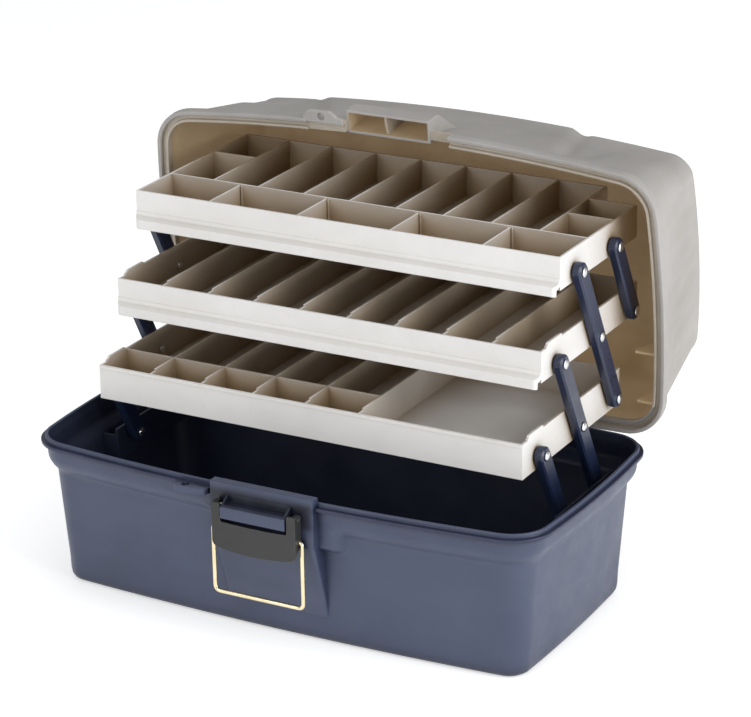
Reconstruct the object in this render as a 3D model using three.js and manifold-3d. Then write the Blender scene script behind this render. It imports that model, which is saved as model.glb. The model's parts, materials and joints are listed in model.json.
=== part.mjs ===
// Three-tray cantilever tackle box, shown open.
// Millimetres, +Z up, +X along the length, the front (latch side) faces -Y.
// The origin is the middle of the underside of the base.
// "Left" is -X and "right" is +X. Boxes are listed as x0, x1, y0, y1, z0, z1.
import * as THREE from 'three';
import { mergeVertices } from 'three/addons/utils/BufferGeometryUtils.js';
import Module from 'manifold-3d';

const wasm = await Module();
wasm.setup();

// ---- driving dimensions ----
// Plans: half length, front and rear reach, corner radius, and the bow of each side
const RIM_PLAN = {
  half: 226, front: 120.6, rear: 113, corner: 32, bowFront: 10.5, bowRear: 3, bowEnd: 3,
};
const FOOT_PLAN = {
  half: 209, front: 102.4, rear: 97, corner: 18, bowFront: 7, bowRear: 2, bowEnd: 2,
};
const LID_TOP_PLAN = {
  half: 206, front: 89.7, rear: 106, corner: 21, bowFront: 9.5, bowRear: 2, bowEnd: 3.5,
};
const RIM_Z = 127;            // top of the base's rim lip
const LID_TOP_Z = 256;        // closed height of the box
const BASE_WALL = 2.8;
const LID_WALL = 2.5;

const TRAY_HALF = 378 / 2;    // half the outside length of a tray
const TRAY_DEPTH = 176;       // front to rear
const TRAY_HEIGHT = 26.5;     // top and middle trays
const BOTTOM_HEIGHT = 30;     // bottom tray
const TRAY_WALL = 2;

const PIVOT_Y = 24;           // first pivot behind a tray's front wall
const PIVOT_PITCH = 66;       // spacing of the pivots along a tray
const PIVOT_DROP = 17.7;      // pivots below a tray's top edge
const NESTED_RISE = 29;       // height from tray to tray when nested
const OPEN_RISE = 63.6;       // height from tray to tray when open
const ARM_PITCH = Math.hypot(PIVOT_PITCH, NESTED_RISE);
const LEAN = Math.sqrt(ARM_PITCH ** 2 - OPEN_RISE ** 2);   // forward lean of an open arm
const TRAY_STEP = PIVOT_PITCH - LEAN;   // each open tray sits this far behind the one below
const TRAY_Y = -56;           // front wall of the bottom tray, open
const TRAY_Z = 178.3;         // top edge of the bottom tray, open
const ARM_X = 189.8;          // inner face of the arms
const ARM_THICK = 8;
const BRACKET_X = [198.4, 201.4];   // inner and outer faces of the base's bracket plates
const PIVOT_BORE = 2.55;      // radius of the rivet holes in trays and brackets

const HINGE_X = 120, HINGE_Y = 117.5, HINGE_Z = 116.5;
const OPEN_DEG = 83;          // the lid stands this far open
const KNUCKLE_R = 4.6, HINGE_BORE = 1.95, HINGE_PIN_R = 1.6;
const LID_KNUCKLE_HALF = 7.6;

const LEVER_Y = -130.6, LEVER_Z = 114.8;    // latch lever pivot
const LATCH_BORE_HALF = 40;   // half length of the cuts for the latch's pin and bail
const LUG_HOLE = { radius: 3.4, x: -66, y: -126.6 };   // padlock hole in base and lid

const SIDES = [-1, 1];        // left, right

// ---- materials ----
const navy = { color: 0x2c3d63, roughness: 0.42, metalness: 0 };
const frost = { color: 0xb9b4aa, roughness: 0.5, metalness: 0 };
const white = { color: 0xdedbd5, roughness: 0.45, metalness: 0 };
const steel = { color: 0xc9cbce, roughness: 0.25, metalness: 1 };
const dark = { color: 0x3c3b3a, roughness: 0.45, metalness: 0 };
const brass = { color: 0xd8bd82, roughness: 0.25, metalness: 1 };

function add(parent, name, geometry, look) {
  const mesh = new THREE.Mesh(geometry, new THREE.MeshStandardMaterial(look));
  mesh.name = name;
  parent.add(mesh);
  return mesh;
}
const sideName = (side) => (side < 0 ? 'left' : 'right');

// ---- solids and meshes ----
function toSolid(shape) {
  if (!(shape instanceof THREE.BufferGeometry)) return shape;
  const bare = shape.clone();
  bare.deleteAttribute('normal');
  bare.deleteAttribute('uv');
  const merged = mergeVertices(bare, 1e-4);
  return new wasm.Manifold(new wasm.Mesh({
    numProp: 3,
    vertProperties: new Float32Array(merged.attributes.position.array),
    triVerts: new Uint32Array(merged.index.array),
  }));
}
function toGeometry(body) {
  const mesh = body.getMesh();
  const geometry = new THREE.BufferGeometry();
  const positions = new Float32Array(mesh.vertProperties);
  geometry.setAttribute('position', new THREE.BufferAttribute(positions, 3));
  geometry.setIndex(new THREE.BufferAttribute(new Uint32Array(mesh.triVerts), 1));
  geometry.computeVertexNormals();
  return geometry;
}
const union = (...shapes) => shapes.map(toSolid).reduce((sum, part) => sum.add(part));
const cut = (body, ...tools) => tools.map(toSolid).reduce((rest, tool) => rest.subtract(tool), body);

// ---- primitives ----
function box(x0, x1, y0, y1, z0, z1) {
  return new THREE.BoxGeometry(x1 - x0, y1 - y0, z1 - z0)
    .translate((x0 + x1) / 2, (y0 + y1) / 2, (z0 + z1) / 2);
}
function extrude(points, depth, options = {}) {
  const shape = new THREE.Shape(points.map(([u, v]) => new THREE.Vector2(u, v)));
  return new THREE.ExtrudeGeometry(shape, { depth, bevelEnabled: false, steps: 1, ...options });
}
// a polygon in (y, z), drawn along x
function prismX(points, x0, x1, options) {
  const axes = new THREE.Matrix4().makeBasis(
    new THREE.Vector3(0, 1, 0), new THREE.Vector3(0, 0, 1), new THREE.Vector3(1, 0, 0));
  return extrude(points, x1 - x0, options).applyMatrix4(axes).translate(x0, 0, 0);
}
// a polygon in (x, y), drawn along z
const prismZ = (points, z0, z1) => extrude(points, z1 - z0).translate(0, 0, z0);
function cylX(radius, x0, x1, y, z, segments = 16) {
  return new THREE.CylinderGeometry(radius, radius, x1 - x0, segments)
    .rotateZ(Math.PI / 2).translate((x0 + x1) / 2, y, z);
}
function cylZ(radius, z0, z1, x, y) {
  return new THREE.CylinderGeometry(radius, radius, z1 - z0, 20)
    .rotateX(Math.PI / 2).translate(x, y, (z0 + z1) / 2);
}
// the x range between two distances from the middle, on one side
const spanX = (side, near, far) => (side > 0 ? [near, far] : [-far, -near]);
// a cylinder on the hinge axis
const hingeCyl = (radius, x, half) => cylX(radius, x - half, x + half, HINGE_Y, HINGE_Z);
const lugHole = (z0, z1) => cylZ(LUG_HOLE.radius, z0, z1, LUG_HOLE.x, LUG_HOLE.y);

// ---- lofted skins ----
const BOW_POINTS = 6, CORNER_POINTS = 4, MIN_CORNER = 3;

// a closed outline: four shallow arcs joined by round corners, anticlockwise from above
function ring(plan, offset, z) {
  const radius = Math.max(plan.corner + offset, MIN_CORNER);
  const inset = offset - radius;
  const right = plan.half + inset - plan.bowEnd;
  const front = -(plan.front + inset - plan.bowFront);
  const rear = plan.rear + inset - plan.bowRear;
  const centres = [[-right, front], [right, front], [right, rear], [-right, rear]];
  const bows = [plan.bowFront, plan.bowEnd, plan.bowRear, plan.bowEnd];
  // points [x, y] and outward directions along each bowed side
  const arcs = centres.map(([startX, startY], i) => {
    const [endX, endY] = centres[(i + 1) % 4];
    const half = Math.hypot(endX - startX, endY - startY) / 2;
    const along = [(endX - startX) / (2 * half), (endY - startY) / (2 * half)];
    const out = [along[1], -along[0]];
    const bowRadius = (half * half + bows[i] ** 2) / (2 * bows[i]);
    const halfAngle = Math.asin(half / bowRadius);
    const back = bowRadius - bows[i];
    const bowX = (startX + endX) / 2 - out[0] * back;
    const bowY = (startY + endY) / 2 - out[1] * back;
    return Array.from({ length: BOW_POINTS }, (_, k) => {
      const angle = -halfAngle + (2 * halfAngle * k) / (BOW_POINTS - 1);
      const [dx, dy] = [0, 1].map((n) => out[n] * Math.cos(angle) + along[n] * Math.sin(angle));
      const reach = bowRadius + radius;
      return { point: [bowX + dx * reach, bowY + dy * reach, z], angle: Math.atan2(dy, dx) };
    });
  });
  const points = [];
  arcs.forEach((arc, i) => {
    points.push(...arc.map((entry) => entry.point));
    const next = (i + 1) % 4;
    const start = arc[BOW_POINTS - 1].angle;
    let end = arcs[next][0].angle;
    while (end < start) end += 2 * Math.PI;
    const [x, y] = centres[next];
    for (let k = 1; k <= CORNER_POINTS; k++) {
      const angle = start + ((end - start) * k) / (CORNER_POINTS + 1);
      points.push([x + radius * Math.cos(angle), y + radius * Math.sin(angle), z]);
    }
  });
  return points;
}
function mixPlan(from, to, t) {
  return Object.fromEntries(Object.keys(from).map((key) => [key, from[key] + (to[key] - from[key]) * t]));
}
function insetPlan(plan, by) {
  return {
    ...plan,
    half: plan.half - by, front: plan.front - by, rear: plan.rear - by, corner: plan.corner - by,
  };
}
// a closed skin through a stack of equal-length rings, capped at both ends
function loft(rings) {
  const count = rings[0].length;
  const positions = rings.flat(2);
  const index = [];
  for (let i = 0; i < rings.length - 1; i++) {
    for (let j = 0; j < count; j++) {
      const a = i * count + j;
      const b = i * count + ((j + 1) % count);
      index.push(a, b, b + count, a, b + count, a + count);
    }
  }
  for (const [level, flip] of [[0, true], [rings.length - 1, false]]) {
    const middle = positions.length / 3;
    for (const axis of [0, 1, 2]) {
      positions.push(rings[level].reduce((sum, point) => sum + point[axis], 0) / count);
    }
    for (let j = 0; j < count; j++) {
      const a = level * count + j;
      const b = level * count + ((j + 1) % count);
      index.push(middle, ...(flip ? [b, a] : [a, b]));
    }
  }
  const geometry = new THREE.BufferGeometry();
  geometry.setAttribute('position', new THREE.BufferAttribute(new Float32Array(positions), 3));
  geometry.setIndex(index);
  return geometry;
}
// stations: plan, offset from it, height
const loftPlans = (stations) => loft(stations.map((station) => ring(...station)));

// ---- bent rods ----
const BEND_STEPS = 4;

// rounds the inner corners of a path; rows are x, y, z, bend length
function bentPath(corners) {
  const points = corners.map(([x, y, z]) => new THREE.Vector3(x, y, z));
  const path = [points[0]];
  for (let i = 1; i < points.length - 1; i++) {
    const [before, after] = [points[i - 1], points[i + 1]].map((neighbour) => {
      const direction = new THREE.Vector3().subVectors(neighbour, points[i]).normalize();
      return points[i].clone().addScaledVector(direction, corners[i][3]);
    });
    path.push(...new THREE.QuadraticBezierCurve3(before, points[i], after).getPoints(BEND_STEPS));
  }
  path.push(points.at(-1));
  return path;
}
// a closed round rod along a path that lies in the plane with this unit normal
function rod(corners, radius, normal, segments) {
  const path = bentPath(corners);
  return loft(path.map((point, i) => {
    const next = path[Math.min(i + 1, path.length - 1)];
    const tangent = new THREE.Vector3().subVectors(next, path[Math.max(i - 1, 0)]).normalize();
    const across = new THREE.Vector3().crossVectors(tangent, normal).normalize();
    return Array.from({ length: segments }, (_, k) => {
      const angle = (2 * Math.PI * k) / segments;
      return point.clone().addScaledVector(across, radius * Math.cos(angle))
        .addScaledVector(normal, -radius * Math.sin(angle)).toArray();
    });
  }));
}

// ---- pivots, as [y, z]; trays count from the bottom, pivots from the front ----
const trayY = (level) => TRAY_Y + level * TRAY_STEP;
const trayZ = (level) => TRAY_Z + level * OPEN_RISE;
const pivot = (level, i) => [
  trayY(level) + PIVOT_Y + i * PIVOT_PITCH,
  trayZ(level) - PIVOT_DROP,
];
function basePivot(i) {
  const [y, z] = pivot(0, i);
  return [y + LEAN, z - OPEN_RISE];
}

// ---- base ----
const BASE_WALL_Z = [9, 98];        // foot and top of the sloping wall
const BASE_WALL_INSET = 9;          // top of the sloping wall, inside the rim
const REAR_RELIEF = [-184, 184, 111.9, 125, 105, 124.4];
const REAR_LEDGE_HALF = 186;
const REAR_LEDGE = [[108.6, 104], [111.6, 104], [113, 106.5], [113, 123.4], [110.4, 123.4]];
const PLINTH_X = [-44, 48];
const PLINTH = [                    // y, z
  [-126.6, 92], [-104, 26], [-102.4, 26], [-108.6, 94], [-116.5, 104], [-116.5, 122],
  [-118.4, 131], [-126, 131], [-126.6, 130.4],
];
const RIDGE_HALF = 28.6;
const RIDGE = [                     // y, z
  [-126, 104.5], [LEVER_Y - 1, 105.2], [-138.2, 106.4], [-138.4, 114.8], [-137.4, 116.4],
  [-126, 123.5],
];
const RIDGE_WELL = [-26.6, 26.6, -136.1, -127, 117.3, 126];
const LEVER_PIN_BORE = 1.75;
const LUG_Z = [118.4, 123.6];
const LUG = [                       // x, y
  [-78, -116], [-76, -128], [-72, -131.5], [-50, -131.5], [-46, -128], [-44.2, -122],
  [-44.2, -116],
];
const LUG_CUT_Z = [117, 125];
const BRACKET_YZ = [-20, 84, 78, 106];
const BRACKET_ROOT_X = 200;         // ribs and shelf start here
const BRACKET_RIBS = [[-20, 213], [13.7, 213], [47.3, 213], [81.5, 209.6]];   // y, outer x
const RIB_THICK = 2.5, RIB_Z = [78, 100];
const SHELF = [[200, -20], [213, -20], [213, 58], [209.6, 84], [200, 84]];    // x, y
const BRACKET_BORE_X = [197, 203];
const BASE_KNUCKLES = [-16, 16];    // from the middle of a hinge
const BASE_KNUCKLE_HALF = 7;
const BASE_HINGE_BORE_HALF = 30;
const BASE_KNUCKLE_WEB = [          // y, z
  [110.5, 106], [HINGE_Y - 2, HINGE_Z - 4.2], [HINGE_Y - 1, HINGE_Z + 3.8], [110.5, 121],
];
const KNUCKLE_ROOM = { radius: 5.1, half: 8.8 };

function baseShell() {
  const wallTop = insetPlan(RIM_PLAN, BASE_WALL_INSET);
  const [z0, z1] = BASE_WALL_Z;
  const wallPlan = (z) => mixPlan(FOOT_PLAN, wallTop, (z - z0) / (z1 - z0));
  return loftPlans([
    // outside, up to the rim
    [FOOT_PLAN, -9, 0], [FOOT_PLAN, -3, 2.2], [FOOT_PLAN, 0, 8],
    [wallPlan(z1), 0, z1],
    [RIM_PLAN, -5, 102.5], [RIM_PLAN, -2, 108], [RIM_PLAN, -1.5, 120], [RIM_PLAN, 3.1, 120.4],
    [RIM_PLAN, 3.4, 123], [RIM_PLAN, 3, 123.6], [RIM_PLAN, 0, 123.6], [RIM_PLAN, -0.1, 126.5],
    [RIM_PLAN, -0.6, RIM_Z], [RIM_PLAN, -2.2, RIM_Z],
    // inside, down to the floor
    [RIM_PLAN, -2.7, 126.5], [RIM_PLAN, -4.6, 119.5], [RIM_PLAN, -5, 107], [RIM_PLAN, -12, 99],
    [wallPlan(12), -BASE_WALL, 12],
    [FOOT_PLAN, -9 - BASE_WALL, 3],
  ]);
}
// end bracket that carries the arms
function addBracket(base, side) {
  const [near, far] = BRACKET_X;
  const ribs = BRACKET_RIBS.map(([y, outerX]) => (
    box(...spanX(side, BRACKET_ROOT_X, outerX), y, y + RIB_THICK, ...RIB_Z)));
  const shelf = prismZ(SHELF.map(([x, y]) => [side * x, y]), RIB_Z[0], RIB_Z[0] + RIB_THICK);
  const body = union(base, box(...spanX(side, near, far), ...BRACKET_YZ), ...ribs, shelf);
  const bores = [0, 1].map((i) => (
    cylX(PIVOT_BORE, ...spanX(side, ...BRACKET_BORE_X), ...basePivot(i))));
  return cut(body, ...bores);
}
function addBaseHinge(base, side) {
  const middle = side * HINGE_X;
  const knuckles = BASE_KNUCKLES.flatMap((shift) => {
    const x = middle + shift;
    return [
      hingeCyl(KNUCKLE_R, x, BASE_KNUCKLE_HALF),
      prismX(BASE_KNUCKLE_WEB, x - BASE_KNUCKLE_HALF, x + BASE_KNUCKLE_HALF),
    ];
  });
  return cut(
    union(base, ...knuckles),
    hingeCyl(HINGE_BORE, middle, BASE_HINGE_BORE_HALF),
    // room for the lid's knuckle
    hingeCyl(KNUCKLE_ROOM.radius, middle, KNUCKLE_ROOM.half),
  );
}
function makeBase() {
  // trim the rear of the rim between its ends, then put a straight ledge there
  let base = cut(toSolid(baseShell()), box(...REAR_RELIEF));
  base = union(
    base,
    prismX(REAR_LEDGE, -REAR_LEDGE_HALF, REAR_LEDGE_HALF),
    // latch plinth on the front, standing above the rim, and the ridge on its face
    prismX(PLINTH, ...PLINTH_X),
    prismX(RIDGE, -RIDGE_HALF, RIDGE_HALF),
    prismZ(LUG, ...LUG_Z),
  );
  base = cut(base, lugHole(...LUG_CUT_Z));
  base = SIDES.reduce(addBracket, base);
  base = SIDES.reduce(addBaseHinge, base);
  const pinBore = cylX(LEVER_PIN_BORE, -LATCH_BORE_HALF, LATCH_BORE_HALF, LEVER_Y, LEVER_Z);
  return toGeometry(cut(base, box(...RIDGE_WELL), pinBore));
}

// ---- carry handle, folded into the lid's recess ----
const HANDLE_X = 62, HANDLE_Y = 14, HANDLE_Z = 250.2;   // arms' x, pivot y and height
const HANDLE_R = 5.2, HANDLE_BEND = 12;
const HANDLE_END_Y = HANDLE_Y + 4;
const GRIP_Y = -20, GRIP_R = 6, GRIP_HALF = 45;
const HANDLE_BORE = 1.8, HANDLE_BORE_X = [54, 70];
const HANDLE_PIN_R = 1.5, HANDLE_PIN_X = [57.5, 75.8];

function makeHandle() {
  const bow = rod([
    [-HANDLE_X, HANDLE_END_Y, HANDLE_Z],
    [-HANDLE_X, GRIP_Y, HANDLE_Z, HANDLE_BEND],
    [HANDLE_X, GRIP_Y, HANDLE_Z, HANDLE_BEND],
    [HANDLE_X, HANDLE_END_Y, HANDLE_Z],
  ], HANDLE_R, new THREE.Vector3(0, 0, 1), 12);
  const grip = cylX(GRIP_R, -GRIP_HALF, GRIP_HALF, GRIP_Y, HANDLE_Z, 14);
  const bores = SIDES.map((side) => (
    cylX(HANDLE_BORE, ...spanX(side, ...HANDLE_BORE_X), HANDLE_Y, HANDLE_Z)));
  return toGeometry(cut(union(bow, grip), ...bores));
}

// ---- lid, drawn closed ----
const LID_WALL_Z = [138, 248];      // foot and top of the sloping wall
const LIP_OFFSET = -3.3, LIP_CUT_Z = [120, 128.2];
const LIP_CUT_BOX = [-230, 230, 88, 130, 119, 129];
const CATCH_OPENING = [-46, 48.5, -126, -110, 120, 133.5];
const CATCH_X = [-47, 28.5], CATCH_WALL = 2;
const CATCH = [                     // y, z
  [-132, 132.6], [-112, 132.6], [-112, 150], [-108.2, 178.5], [-131, 149.5], [-132, 146],
];
const CATCH_POCKET = [
  [-130, 131], [-114.4, 131], [-114.4, 160], [-113.8, 167], [-115, 167], [-130, 147],
];
const RIM_RELIEF = [-80, 48.8, -121.4, -110, 120, 127.8];
const CATCH_WEB_X = [-12.8, -10.8];
const CATCH_WEB = [[-131, 134], [-113, 134], [-113, 163], [-116, 164], [-130.6, 146.5]];
const TAB_Z = [124.4, 128.4];
const TAB = [                       // x, y
  [-84, -121.2], [-82, -125], [-78, -131.5], [-58, -131.5], [-53, -127], [-46.5, -126],
  [-46.5, -121.2],
];
const TAB_CUT_Z = [123, 130];
const RECESS = [-80, 80, -34, 26, 240, 254];
const RECESS_INSIDE = [-77.5, 77.5, -31.5, 23.5, 242.5, 260];
const POST_X = [68.5, 79], POST_Y = [HANDLE_Y - 5, HANDLE_Y + 5], POST_Z = [241, 254.8];
const POST_BORE_HALF = 76.5;
const LID_HINGE_BORE_HALF = 9;
const LID_KNUCKLE_WEB = [           // y, z
  [HINGE_Y - 0.2, HINGE_Z + 1], [HINGE_Y + 4.4, HINGE_Z + 1], [HINGE_Y + 3.6, 133],
  [114.6, 135], [114.6, 124.4], [HINGE_Y - 0.6, 124.4],
];

function lidSkin() {
  const wallFoot = insetPlan(RIM_PLAN, 1);
  const [z0, z1] = LID_WALL_Z;
  const wallPlan = (z) => mixPlan(wallFoot, LID_TOP_PLAN, (z - z0) / (z1 - z0));
  return loftPlans([
    // inside, from the crown down to the rim
    [LID_TOP_PLAN, -LID_WALL - 5, LID_TOP_Z - LID_WALL], [LID_TOP_PLAN, -LID_WALL, z1],
    [wallPlan(z0), -LID_WALL, z0],
    [RIM_PLAN, -5.6, 131], [RIM_PLAN, -5.8, 125.4], [RIM_PLAN, -3.4, 125.4],
    [RIM_PLAN, -3.2, 128.3], [RIM_PLAN, 0.6, 128.3], [RIM_PLAN, 0.8, 124.2],
    // outside, back up to the crown
    [RIM_PLAN, 3.9, 124.2], [RIM_PLAN, 4.4, 125], [RIM_PLAN, 4.2, 131], [RIM_PLAN, 3.4, 134],
    [RIM_PLAN, -0.6, 136],
    [wallPlan(140), 0, 140], [wallPlan(z1), 0, z1],
    [LID_TOP_PLAN, -2.4, 253.6], [LID_TOP_PLAN, -8, LID_TOP_Z],
  ]);
}
// catch housing on the front: two pockets, open downwards, with a web between them
function addCatch(lid) {
  const [x0, x1] = CATCH_X;
  const hollow = cut(
    union(cut(lid, box(...CATCH_OPENING)), prismX(CATCH, x0, x1)),
    prismX(CATCH_POCKET, x0 + CATCH_WALL, x1 - CATCH_WALL),
    box(...RIM_RELIEF),
  );
  return union(hollow, prismX(CATCH_WEB, ...CATCH_WEB_X));
}
function addHandleRecess(lid) {
  const recess = cut(union(lid, box(...RECESS)), box(...RECESS_INSIDE));
  const posts = SIDES.map((side) => box(...spanX(side, ...POST_X), ...POST_Y, ...POST_Z));
  const bore = cylX(HANDLE_BORE, -POST_BORE_HALF, POST_BORE_HALF, HANDLE_Y, HANDLE_Z);
  return cut(union(recess, ...posts), bore);
}
function addLidHinge(lid, side) {
  const x = side * HINGE_X;
  const knuckle = union(
    lid,
    hingeCyl(KNUCKLE_R, x, LID_KNUCKLE_HALF),
    prismX(LID_KNUCKLE_WEB, x - LID_KNUCKLE_HALF, x + LID_KNUCKLE_HALF),
  );
  return cut(knuckle, hingeCyl(HINGE_BORE, x, LID_HINGE_BORE_HALF));
}
function makeLid() {
  // the inner lip stops short of the hinge side
  const lipCut = toSolid(loftPlans(LIP_CUT_Z.map((z) => [RIM_PLAN, LIP_OFFSET, z])))
    .intersect(toSolid(box(...LIP_CUT_BOX)));
  let lid = addCatch(cut(toSolid(lidSkin()), lipCut));
  // padlock tab
  lid = cut(union(lid, prismZ(TAB, ...TAB_Z)), lugHole(...TAB_CUT_Z));
  lid = addHandleRecess(lid);
  return toGeometry(SIDES.reduce(addLidHinge, lid));
}

// ---- trays, drawn with the front wall at y = 0 and the top edge at z = 0 ----
const DIVIDER = 1.6;                // thickness of the dividers
const TRAY_FLOOR = 2;
const CUT_TOP = 5;                  // cuts run up to here, clear of the top edge
const INSIDE_X = TRAY_HALF - TRAY_WALL;
const INSIDE_REAR = TRAY_DEPTH - TRAY_WALL;
const EVEN_X = Array.from({ length: 8 }, (_, i) => (i - 3.5) * 42);   // top rear row, middle tray
const LOOSE_X = [-122, -41.5, 41.5, 122];                             // top tray's front row
const BOTTOM_X = [-141.6, -94.2, -46.8, 0.6, 48];
const TOP_ROW_Y = 52, BOTTOM_ROW_Y = 38;        // walls between front and rear rows
const SPLIT_LEFT_Y = 120, SPLIT_RIGHT_Y = 101;  // cross walls in the top tray's end cells
const NOTCH_Y = 142;                // depth of the top tray at its right end
const EMBED = 0.5;                  // added walls run this far into their neighbours
const RIB = { offset: 1.9, width: 1, reach: 1.4, embed: 0.3, top: -1.5 };
const LOOSE = { endGap: 0.35, floorGap: 0.3, top: -0.8 };
const FRONT_CUT = { y: 9, z: -1.6 };
const EAR = [[11, -2], [36, -2], [36, 1.4], [35.4, 2], [12.4, 2], [11, 0.6]];   // y, z
const LIP = [                       // y, z
  [0.2, -16.5], [-0.7, -17.4], [-1.2, -20], [-5.3, -23], [-5.6, -30.2], [-5.2, -30.8],
  [-3.6, -30.8], [-3.4, -30.2], [-3.3, -25.6], [0.6, -22.4],
];
const LIP_END = [                   // x beyond the tray's end, y
  [1, -7], [1, -0.4], [0, -0.4], [-0.6, -2.4], [-2, -4.1], [-4, -5.2], [-6.5, -5.7],
  [-6.5, -7],
];
const LIP_END_Z = [-32, -15];
const BEAD = [[0.3, -1.8], [-0.9, -2.2], [-0.9, -3.8], [0.3, -4.4]];            // y, z
const BEAD_HALF = TRAY_HALF - 0.6;
const TRAY_BORE_X = [TRAY_HALF - 4, TRAY_HALF + 1];

const trayBlock = (height) => toSolid(box(-TRAY_HALF, TRAY_HALF, 0, TRAY_DEPTH, -height, 0));

// cuts a row of cells, leaving a divider centred on each listed x
function cutRow(tray, height, dividers, x0, x1, y0, y1) {
  const starts = [x0, ...dividers.map((x) => x + DIVIDER / 2)];
  const ends = [...dividers.map((x) => x - DIVIDER / 2), x1];
  return cut(tray, ...starts.map((start, i) => (
    box(start, ends[i], y0, y1, TRAY_FLOOR - height, CUT_TOP))));
}
// lowers the front wall and adds a small ear to each end wall
function lowerFront(tray) {
  const { y, z } = FRONT_CUT;
  const lowered = cut(tray, box(-TRAY_HALF - 1, TRAY_HALF + 1, -1, y, z, CUT_TOP));
  return union(lowered, ...SIDES.map((side) => (
    prismX(EAR, ...spanX(side, INSIDE_X, TRAY_HALF)))));
}
// hanging lip along the front, rounded at both ends to run into the end walls
function addLip(tray) {
  return cut(union(tray, prismX(LIP, -TRAY_HALF, TRAY_HALF)), ...SIDES.map((side) => (
    prismZ(LIP_END.map(([x, y]) => [side * (TRAY_HALF + x), y]), ...LIP_END_Z))));
}
function boreTray(tray, count) {
  let bored = tray;
  for (let i = 0; i < count; i++) {
    bored = cut(bored, ...SIDES.map((side) => (
      cylX(PIVOT_BORE, ...spanX(side, ...TRAY_BORE_X), PIVOT_Y + i * PIVOT_PITCH, -PIVOT_DROP))));
  }
  return bored;
}
// pairs of ribs on both long walls of the front row, holding the loose dividers
function guideRibs() {
  const rear = TOP_ROW_Y - DIVIDER / 2;
  const z = [TRAY_FLOOR - TRAY_HEIGHT - RIB.embed, RIB.top];
  return LOOSE_X.flatMap((middle) => SIDES.flatMap((side) => {
    const x = middle + side * RIB.offset - RIB.width / 2;
    return [
      box(x, x + RIB.width, TRAY_WALL - RIB.embed, TRAY_WALL + RIB.reach, ...z),
      box(x, x + RIB.width, rear - RIB.reach, rear + RIB.embed, ...z),
    ];
  }));
}
function topTray() {
  const half = DIVIDER / 2;
  const left = EVEN_X[0], right = EVEN_X.at(-1);
  const wallZ = [TRAY_FLOOR - TRAY_HEIGHT - EMBED, 0];
  const end = INSIDE_X + EMBED;
  let tray = trayBlock(TRAY_HEIGHT);
  tray = cutRow(tray, TRAY_HEIGHT, [], -INSIDE_X, INSIDE_X, TRAY_WALL, TOP_ROW_Y - half);
  tray = cutRow(tray, TRAY_HEIGHT, EVEN_X, -INSIDE_X, INSIDE_X, TOP_ROW_Y + half, INSIDE_REAR);
  tray = union(
    tray,
    box(-end, left, SPLIT_LEFT_Y - half, SPLIT_LEFT_Y + half, ...wallZ),
    box(right, end, SPLIT_RIGHT_Y - half, SPLIT_RIGHT_Y + half, ...wallZ),
    box(right, end, NOTCH_Y - TRAY_WALL, NOTCH_Y, ...wallZ),
  );
  // the rear corner on the right is left out
  tray = cut(tray, box(
    right + half, TRAY_HALF + 1, NOTCH_Y, TRAY_DEPTH + 1, -TRAY_HEIGHT - 1, 1));
  return addLip(union(tray, ...guideRibs()));
}
function middleTray() {
  const tray = cutRow(
    trayBlock(TRAY_HEIGHT), TRAY_HEIGHT, EVEN_X, -INSIDE_X, INSIDE_X, TRAY_WALL, INSIDE_REAR);
  return addLip(lowerFront(tray));
}
function bottomTray() {
  const half = DIVIDER / 2;
  const last = BOTTOM_X.at(-1);
  const cutCells = (tray, ...row) => cutRow(tray, BOTTOM_HEIGHT, ...row);
  let tray = trayBlock(BOTTOM_HEIGHT);
  tray = cutCells(tray, BOTTOM_X, -INSIDE_X, INSIDE_X, TRAY_WALL, BOTTOM_ROW_Y - half);
  // the right end is one full-depth cell
  tray = cutCells(tray, [], last + half, INSIDE_X, TRAY_WALL, INSIDE_REAR);
  tray = cutCells(
    tray, BOTTOM_X.slice(0, -1), -INSIDE_X, last - half, BOTTOM_ROW_Y + half, INSIDE_REAR);
  return union(lowerFront(tray), prismX(BEAD, -BEAD_HALF, BEAD_HALF));
}
function looseDivider(x) {
  return box(
    x - DIVIDER / 2, x + DIVIDER / 2,
    TRAY_WALL + LOOSE.endGap, TOP_ROW_Y - DIVIDER / 2 - LOOSE.endGap,
    TRAY_FLOOR + LOOSE.floorGap - TRAY_HEIGHT, LOOSE.top);
}
const TRAYS = [
  { name: 'bottom', make: bottomTray, pivots: 3 },
  { name: 'middle', make: middleTray, pivots: 3 },
  { name: 'top', make: topTray, pivots: 2 },
];

// ---- arms ----
const ARM_R = 7.4, ARM_BEVEL = 1.4, ARM_BORE = 2.65, ARM_END_STEPS = 8;
// the pivots on each arm, from its lower end to its upper end
const ARMS = {
  lower_front_arm: [basePivot(0), pivot(0, 0)],
  lower_long_arm: [basePivot(1), pivot(0, 1), pivot(1, 0)],
  upper_long_arm: [pivot(0, 2), pivot(1, 1), pivot(2, 0)],
  upper_rear_arm: [pivot(1, 2), pivot(2, 1)],
};

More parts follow.
